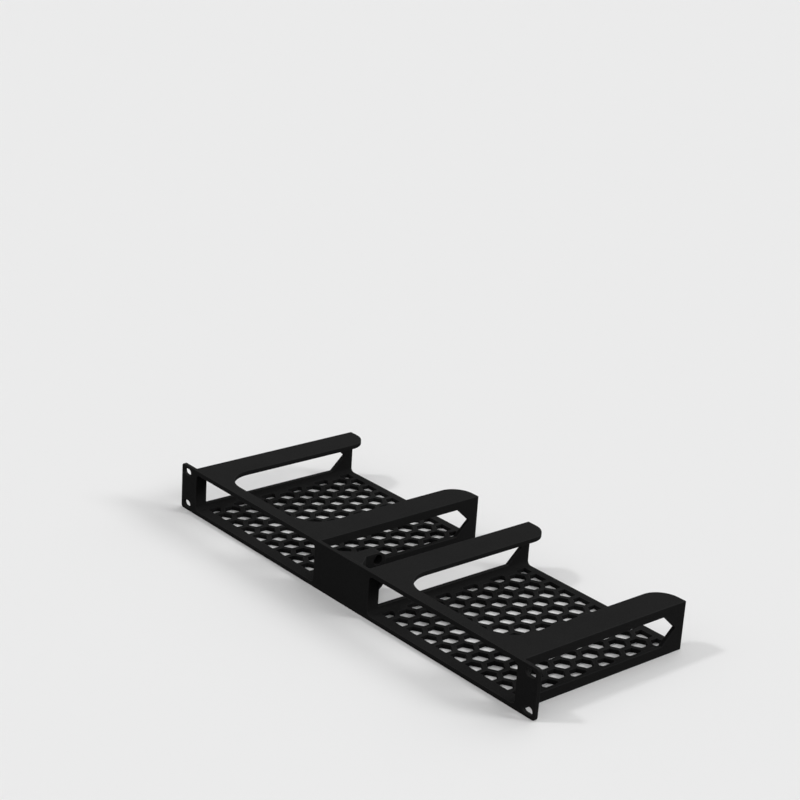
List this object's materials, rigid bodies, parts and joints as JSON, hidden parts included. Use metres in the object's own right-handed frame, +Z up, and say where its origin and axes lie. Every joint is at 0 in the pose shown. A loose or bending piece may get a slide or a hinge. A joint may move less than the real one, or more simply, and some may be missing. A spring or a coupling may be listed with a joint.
{
  "type": "rack mount tray chassis",
  "caption": "Low rack-mount chassis: a full-width front panel with slotted ears, open-topped bays with honeycomb floors and long side windows, joined by a centre rib.",
  "frame": {"origin": "middle of the underside's bounding box, on the surface the chassis lies on", "axes": "+X along the front panel, to the right seen from the front; +Y from the front panel to the rear; +Z up"},
  "size_m": [0.4826, 0.186, 0.0444],
  "materials": {
    "chassis_black": "matte black, moulded or printed, very fine grain"
  },
  "bodies": {
    "root": {"rack_chassis": "chassis_black"}
  },
  "joints": []
}
